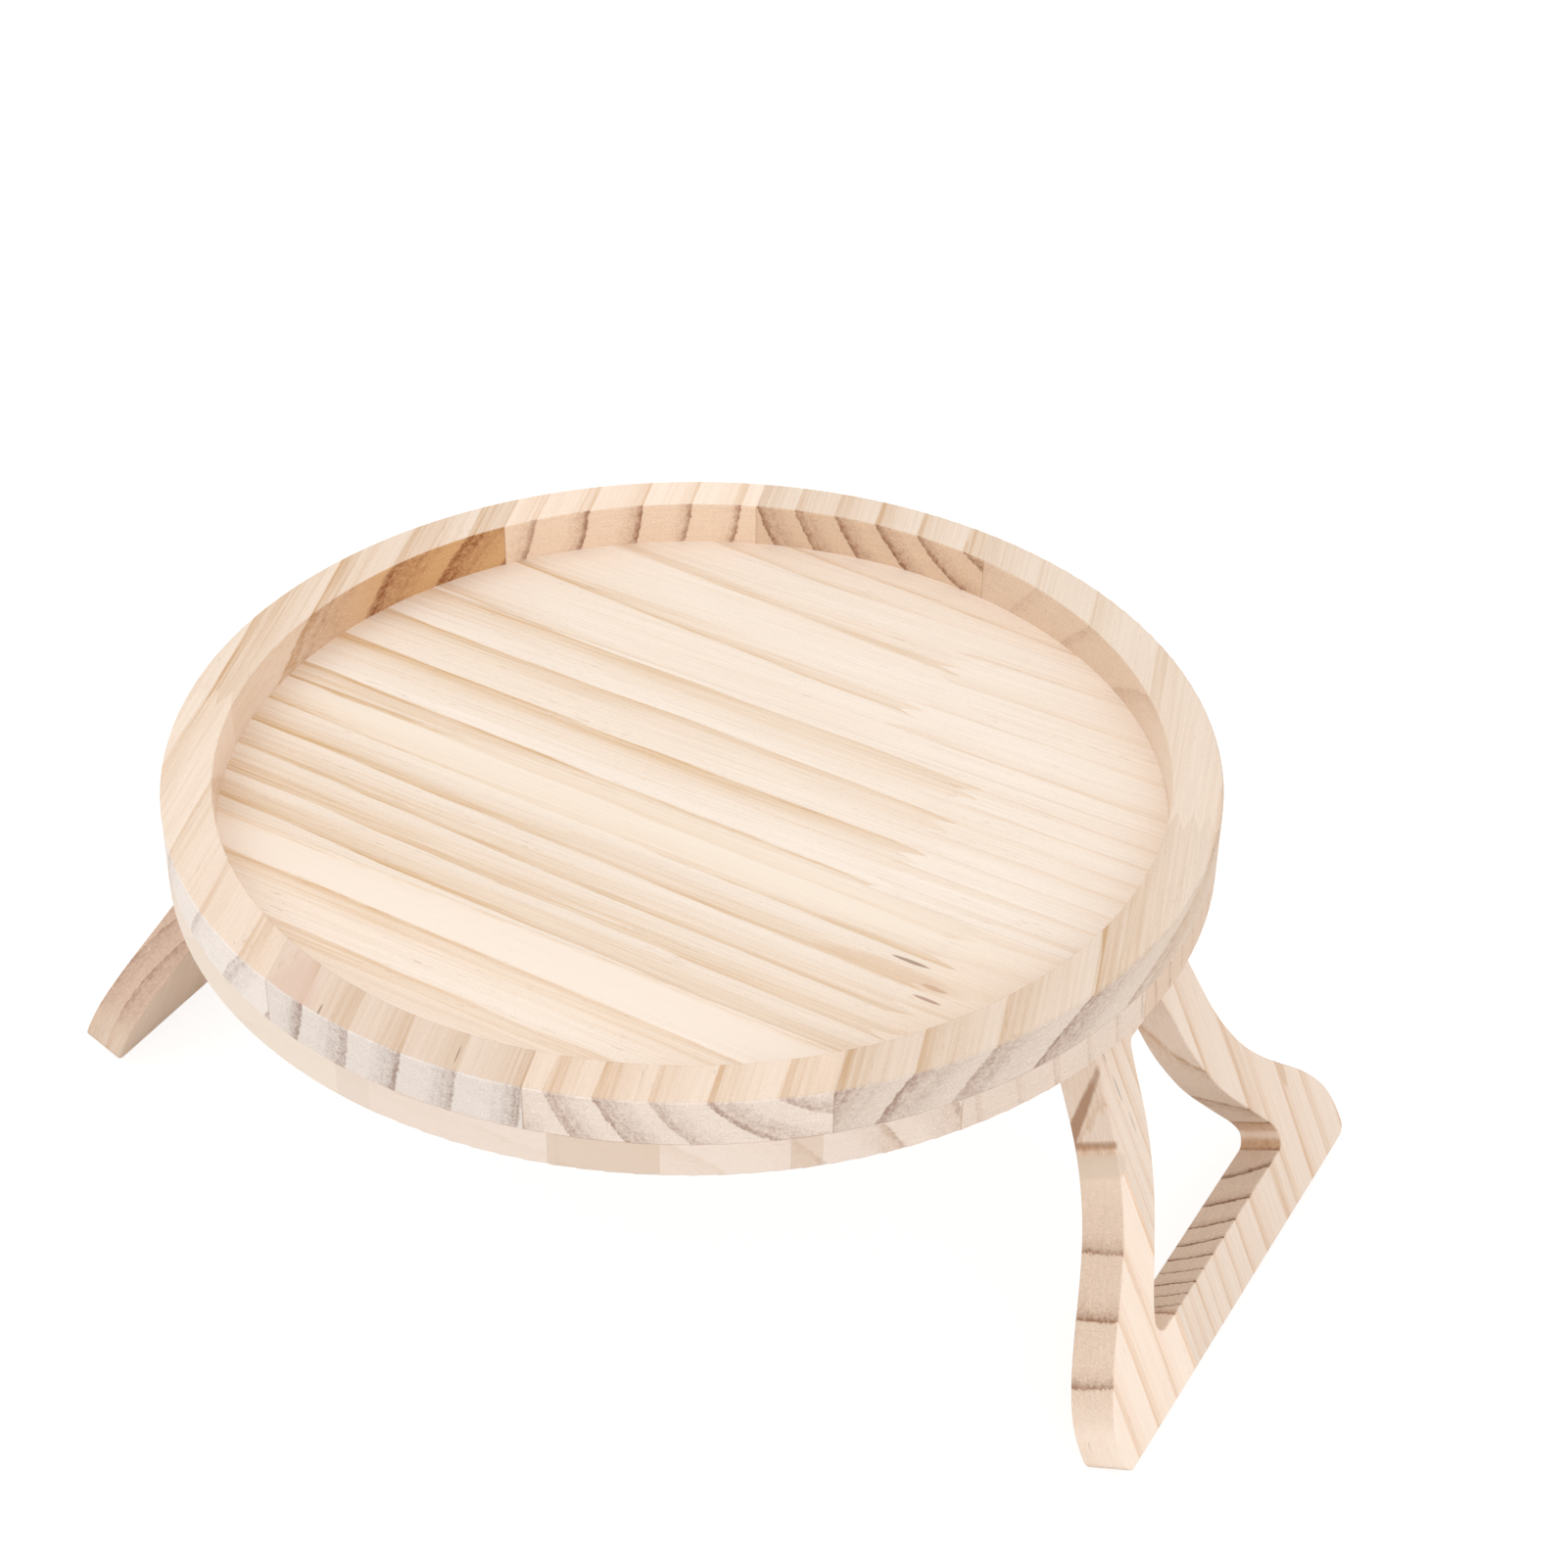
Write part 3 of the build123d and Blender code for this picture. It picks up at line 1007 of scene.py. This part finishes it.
@dataclass
class Leg:
    """One folding leg in pine, with its grain along it.

    The pin's place, in metres, and the grain are the right leg's own, and the
    left leg's are mirrored.
    """

    side: str
    pin_place: Triple = (0.1011, 0.005, 0.09004)
    grain: Triple = (0.40674, 0.0, -0.91355)

    def dress(self, solids: Solids) -> None:
        """Gives the leg's board its finish.

        Args:
            solids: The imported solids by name.
        """
        panel = self.left_panel() if self.side == "left" else self.right_panel()
        dress(solids[f"{self.side}_leg"], panel.material())
        LOG.info("dressed the %s leg", self.side)

    def left_panel(self) -> RawPine:
        """Describes the left leg's board, with slanting bands in its side.

        Returns:
            The panel's wood.
        """
        front = Board(-80, -60, 6.0, 0.35, 0.24, 0.55, 1.0, 0.9, 0.35, 0.0, shade=0.4)
        middle = Board(-90, 20, 8.0, 0.35, 0.01, 0.6, 0.6, 0.6, 0.5, 0.6, shade=0.2)
        back = Board(-150, -20, 7.2, 0.6, 0.0, 0.6, 0.5, 0.6, 0.5)
        return RawPine(
            name="pine_sanded_left_leg",
            origin=(-self.pin_place[0], *self.pin_place[1:]),
            grain=(-self.grain[0], *self.grain[1:]),
            staves=(Stave(-28.0, front), Stave(34.6, middle), Stave(200.0, back)),
            pale="#F8E7D7",
            pink="#DFC4AE",
            ochre="#DDB48C",
            end_pale="#E6D0C4",
            end_line="#6E4631",
            end_late="#AF8D7D",
            seed=9.0,
        )

    def right_panel(self) -> RawPine:
        """Describes the right leg's board, with bands across its side and a wedge mark.

        Returns:
            The panel's wood.
        """
        front = Board(160, 4, 10.5, 0.952, 0.0, 0.95, 0.45, 0.7, 0.15, 0.4, shade=1.0)
        middle = Board(
            70, -20, 46.1, 0.66, 0.0, 0.9, 0.6, 0.7, 0.2, 0.05, growth=2.87, shade=0.42
        )
        middle_foot = replace(middle, end_line=1.0)
        back = Board(160, 0, 10.4, 0.894, 0.0, 0.95, 0.55, 0.7, 0.6)
        return RawPine(
            name="pine_sanded_right_leg",
            origin=self.pin_place,
            grain=self.grain,
            staves=(
                Stave(-28.0, front),
                Stave(34.6, middle, 66.0, middle_foot),
                Stave(200.0, back),
            ),
            marks=(
                Mark(14.0, -20.6, 8.0, 0.8, "#A0958B", 0.5),
                Mark(25.0, -20.0, 9.0, 0.8, "#A0958B", 0.5),
                Mark(35.0, -19.0, 7.0, 0.7, "#A0958B", 0.4),
                Mark(66.5, 47.5, 12.0, 3.2, "#D8B598", 0.6),
                Mark(30.6, -30.0, 6.0, 12.0, "#AE876A", 0.9, -1.43),
                Mark(39.8, -31.0, 5.6, 9.0, "#E4D0BC", 0.9, -0.05),
                Mark(35.2, -32.0, 3.6, 9.0, "#A97A58", 0.8, -0.05),
            ),
            pale="#F8E7D7",
            pink="#F1D9C7",
            ochre="#DDB48C",
            end_pale="#E7D4C4",
            end_line="#6E4631",
            seed=7.0,
        )


@dataclass
class Hinge:
    """One sprung hinge: its leaves, pin, screws and torsion spring.

    Sizes are in mm and degrees in the hinge's frame: the pin's axis is the
    origin and Y, X points outward, and angles run from X to Z.
    """

    side: str
    offset: float = 101.1
    shift: float = 5.0
    axis_height: float = 90.04411
    screws: int = 2
    wire: float = 0.92
    coil_radius: float = 2.05
    pitch: float = 1.08
    tray_arm_turn: float = 60.0
    coil_turn: float = 2694.0
    coil_half: float = 4.04
    open_angle: float = 114.0
    tray_arm_height: float = 1.12
    leg_arm_height: float = 0.92
    tray_arm_reach: float = 12.4
    leg_arm_reach: float = 11.0
    bend_radius: float = 1.2
    bend_steps: int = 9
    wire_sides: int = 14
    steps_per_turn: int = 36

    def dress(self, solids: Solids, plate: Finish, screw: Finish) -> None:
        """Gives the hinge's solids their finish.

        Args:
            solids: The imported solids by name.
            plate: The finish of the leaves and the pin.
            screw: The finish of the screws.
        """
        for part in ("hinge_tray_leaf", "hinge_leg_leaf", "hinge_pin"):
            dress(solids[f"{self.side}_{part}"], plate)
        for leaf in ("tray_leaf", "leg_leaf"):
            for number in range(1, self.screws + 1):
                dress(solids[f"{self.side}_{leaf}_screw_{number}"], screw)
        LOG.info("dressed the %s hinge", self.side)

    def build_spring(self, steel: Finish) -> None:
        """Winds the torsion spring and hangs it between tray and leg.

        Args:
            steel: The spring's finish.
        """
        points = [self._to_tray(p) for p in self._wire_line()]
        spring = sweep_wire(
            f"{self.side}_spring_wire", points, self.wire / 2 * MM, self.wire_sides
        )
        dress(spring, steel)
        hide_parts(f"{self.side}_hinge_spring")
        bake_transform(spring)
        LOG.info("wound %s with %d points", spring.name, len(points))

    def _to_tray(self, point: Vector) -> Vector:
        """Moves a point from the hinge's frame to the tray's.

        Args:
            point: The point, in mm.

        Returns:
            The same point, in metres.
        """
        turn = -1 if self.side == "left" else 1
        across = turn * (point.x + self.offset)
        along = turn * point.y + self.shift
        return Vector((across, along, point.z + self.axis_height)) * MM

    def _wire_line(self) -> list[Vector]:
        """Draws the spring's whole centre line with the leg open.

        Returns:
            Its points from the tip on the tray's leaf to the tip on the leg's.
        """
        tray_arm = self._arm(
            self.tray_arm_turn, -1, self.tray_arm_height, self.tray_arm_reach
        )
        for point in tray_arm:
            point.y = self.coil_half
        count = round(self.coil_turn / 360 * self.steps_per_turn)
        coil = [
            self._coil_point(self.tray_arm_turn + self.coil_turn * i / count)
            for i in range(count + 1)
        ]
        folded_turn = (self.tray_arm_turn + self.coil_turn - self.open_angle) % 360
        leg_arm = self._arm(folded_turn, 1, self.leg_arm_height, self.leg_arm_reach)
        opened = Matrix.Rotation(math.radians(-self.open_angle), 3, "Y")
        leg_arm = [opened @ point for point in leg_arm]
        for point in leg_arm:
            point.y = -self.coil_half
        return [*reversed(tray_arm), *coil, *leg_arm]

    def _coil_point(self, turn: float) -> Vector:
        """Finds the wire's middle.

        Args:
            turn: The degrees round the pin.

        Returns:
            The point, in the folded hinge's frame.
        """
        angle, radius = math.radians(turn), self.coil_radius
        along = self.coil_half - self.pitch * (turn - self.tray_arm_turn) / 360
        return Vector((radius * math.cos(angle), along, radius * math.sin(angle)))

    def _arm(self, turn: float, way: int, height: float, reach: float) -> list[Vector]:
        """Draws an arm off the coil: a slope, a bend and a run along its leaf.

        Args:
            turn: Where it leaves the coil, in degrees round the pin.
            way: 1 where it goes on the way the coil turns, -1 for back.
            height: The run's height.
            reach: The tip's distance from the pin.

        Returns:
            The arm's points from the coil outward, in the folded hinge's frame.
        """
        angle = math.radians(turn)
        start = self._coil_point(turn)
        start.y = 0
        slope = Vector((-math.sin(angle), 0, math.cos(angle))) * way
        outward = Vector((math.copysign(1, slope.x), 0, 0))
        corner = start + slope * ((start.z - height) / -slope.z)
        cut = self.bend_radius * math.tan(slope.angle(outward) / 2)
        first, last = corner - slope * cut, corner + outward * cut
        bend = []
        for i in range(1, self.bend_steps):
            share = i / self.bend_steps
            rest = 1 - share
            bend.append(first * rest**2 + corner * 2 * share * rest + last * share**2)
        tip = Vector((outward.x * reach, 0, height))
        return [first, *bend, last, last.lerp(tip, 0.5), tip]


def sweep_wire(
    name: str, points: list[Vector], radius: float, sides: int
) -> bpy.types.Object:
    """Draws a round wire along points, with rounded-off ends.

    Args:
        name: The new object's name.
        points: The centre line in metres.
        radius: The wire's radius in metres.
        sides: How many faces go round it.

    Returns:
        The wire as a mesh object with no parent.
    """
    mesh = bmesh.new()
    normal = (points[1] - points[0]).orthogonal().normalized()
    ends = len(points) - 1
    ways = [
        (points[min(i + 1, ends)] - points[max(i - 1, 0)]).normalized()
        for i in range(len(points))
    ]
    # Each end steps in over a quarter of the radius
    tip = radius / 4
    first, last = points[0], points[-1]
    stations = [
        (first, ways[0], radius - tip),
        (first + ways[0] * tip, ways[0], radius),
        *((p, w, radius) for p, w in zip(points[1:-1], ways[1:-1])),
        (last - ways[-1] * tip, ways[-1], radius),
        (last, ways[-1], radius - tip),
    ]
    rings = []
    for point, way, size in stations:
        normal = (normal - way * normal.dot(way)).normalized()
        binormal = way.cross(normal)
        ring = []
        for k in range(sides):
            angle = 2 * math.pi * k / sides
            spoke = normal * math.cos(angle) + binormal * math.sin(angle)
            ring.append(mesh.verts.new(point + spoke * size))
        rings.append(ring)
    for a, b in zip(rings, rings[1:]):
        for k in range(sides):
            mesh.faces.new((a[k], a[(k + 1) % sides], b[(k + 1) % sides], b[k]))
    mesh.faces.new(list(reversed(rings[0])))
    mesh.faces.new(rings[-1])
    bmesh.ops.recalc_face_normals(mesh, faces=mesh.faces)
    for face in mesh.faces:
        face.smooth = len(face.verts) == 4
    return place_mesh(name, mesh)


def place_mesh(name: str, mesh: bmesh.types.BMesh) -> bpy.types.Object:
    """Turns a finished mesh into an object of the scene.

    Args:
        name: The object's name.
        mesh: Its faces, which are freed.

    Returns:
        The object.
    """
    data = bpy.data.meshes.new(name)
    mesh.to_mesh(data)
    mesh.free()
    thing = bpy.data.objects.new(name, data)
    bpy.context.scene.collection.objects.link(thing)
    return thing


@dataclass(frozen=True)
class SoftBox:
    """One square soft box: its place and side in metres, its power in watts."""

    name: str
    place: Triple
    size: float
    power: float

    def hang(self, aim: Triple) -> None:
        """Hangs it up.

        Args:
            aim: The point that it is turned to, in metres.
        """
        data = bpy.data.lights.new(self.name, "AREA")
        data.shape = "SQUARE"
        data.size = self.size
        data.energy = self.power
        box = bpy.data.objects.new(self.name, data)
        box.location = self.place
        box.rotation_mode = "QUATERNION"
        way = Vector(aim) - Vector(self.place)
        box.rotation_quaternion = way.to_track_quat("-Z", "Y")
        bpy.context.scene.collection.objects.link(box)


@dataclass
class Studio:
    """The white table, the soft light and the camera.

    The camera's values are those that put the tray's edges on the
    photograph's, in degrees and mm. The other lengths are in metres.
    """

    azimuth: float = 28.8
    elevation: float = 36.01
    roll: float = 0.95
    distance: float = 758.08
    lens: float = 71.08
    sensor: float = 36.0
    nearest: float = 0.01
    furthest: float = 50.0
    target: Triple = (11.65, 23.26, 92.64)
    floor_radius: float = 4.0
    floor_sides: int = 96
    # Just under the feet, so that the two faces don't fight
    floor_height: float = -0.0002
    # What the table top gives back to the tray, and what the camera sees
    floor_lit: str = "#E6E4E1"
    floor_seen: str = "#9C9B9A"
    floor_glow: float = 0.80
    sky: float = 0.92
    aim: Triple = (0.0, 0.0, 0.08)
    boxes: tuple[SoftBox, ...] = (
        SoftBox("key", (-0.9, -0.5, 1.5), 1.1, 3.8),
        SoftBox("fill", (1.1, -0.9, 1.0), 1.0, 3.2),
    )

    def build_camera(self) -> None:
        """Makes the camera at the photograph's viewing angle."""
        a, e, r = (math.radians(x) for x in (self.azimuth, self.elevation, self.roll))
        level = math.cos(e)
        back = Vector((math.sin(a) * level, -math.cos(a) * level, math.sin(e)))
        right = (-back).cross(Vector((0, 0, 1))).normalized()
        up = right.cross(-back)
        turned_right = right * math.cos(r) + up * math.sin(r)
        turned_up = up * math.cos(r) - right * math.sin(r)
        data = bpy.data.cameras.new("camera")
        data.lens = self.lens
        data.sensor_width = self.sensor
        data.clip_start, data.clip_end = self.nearest, self.furthest
        camera = bpy.data.objects.new("camera", data)
        place = Matrix((turned_right, turned_up, back)).transposed().to_4x4()
        place.translation = (Vector(self.target) + back * self.distance) * MM
        camera.matrix_world = place
        bpy.context.scene.collection.objects.link(camera)
        bpy.context.scene.camera = camera

    def build_floor(self) -> None:
        """Lays the white table top, which keeps the tray's soft shadow."""
        mesh = bmesh.new()
        bmesh.ops.create_circle(
            mesh, cap_ends=True, segments=self.floor_sides, radius=self.floor_radius
        )
        floor = place_mesh("table_top", mesh)
        floor.location.z = self.floor_height
        dress(floor, self._white_laminate())

    def _white_laminate(self) -> Finish:
        """Builds the table top's matt laminate.

        It gives the eye an even white with a faint shadow, and sends back to
        the tray only the light that falls on it.

        Returns:
            The material.
        """
        material = bpy.data.materials.new("white_laminate_matt")
        add = empty_nodes(material)
        path = add("LightPath").outputs
        seen = add(
            "Math", path["Is Camera Ray"], path["Is Glossy Ray"], operation="ADD"
        )
        seen = add(
            "Math", seen, path["Is Transmission Ray"], operation="ADD", use_clamp=True
        )
        colour = add("Mix", seen, self.floor_lit, self.floor_seen, data_type="RGBA")
        matt = add("BsdfDiffuse", colour)
        share = add("Math", seen, self.floor_glow, operation="MULTIPLY")
        glow = add("Emission", WHITE, share)
        add("OutputMaterial", add("AddShader", matt, glow))
        return material

    def build_light(self) -> None:
        """Sets an even white room and its large soft boxes."""
        world = bpy.data.worlds.new("white_room")
        add = empty_nodes(world)
        path = add("LightPath").outputs
        seen = add(
            "Math",
            path["Is Camera Ray"],
            path["Is Transmission Ray"],
            operation="MAXIMUM",
        )
        strength = add("MapRange", seen, 0.0, 1.0, self.sky, 1.0)
        sky = add("Background", WHITE, strength)
        add("OutputWorld", sky)
        bpy.context.scene.world = world
        for box in self.boxes:
            box.hang(self.aim)


def main() -> None:
    """Dresses the tray, winds its springs and sets the studio."""
    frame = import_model()
    solids = frame["nodes"]
    bpy.context.scene.view_settings.view_transform = "Standard"
    studio = Studio()
    studio.build_camera()
    studio.build_floor()
    studio.build_light()
    Tray().dress(solids)
    plate = PlatedSteel("nickel_plated_steel_stamped").material()
    screw = PlatedSteel("nickel_plated_steel_screw", polish=Polish.TUMBLED).material()
    spring = PlatedSteel("spring_steel_drawn", "#C6C4C0", "#A7A39D", Polish.DRAWN)
    wire = spring.material()
    for side in ("left", "right"):
        Leg(side).dress(solids)
        hinge = Hinge(side)
        hinge.dress(solids, plate, screw)
        hinge.build_spring(wire)


if __name__ == "__main__":
    logging.basicConfig(level=logging.INFO, format="%(message)s")
    main()
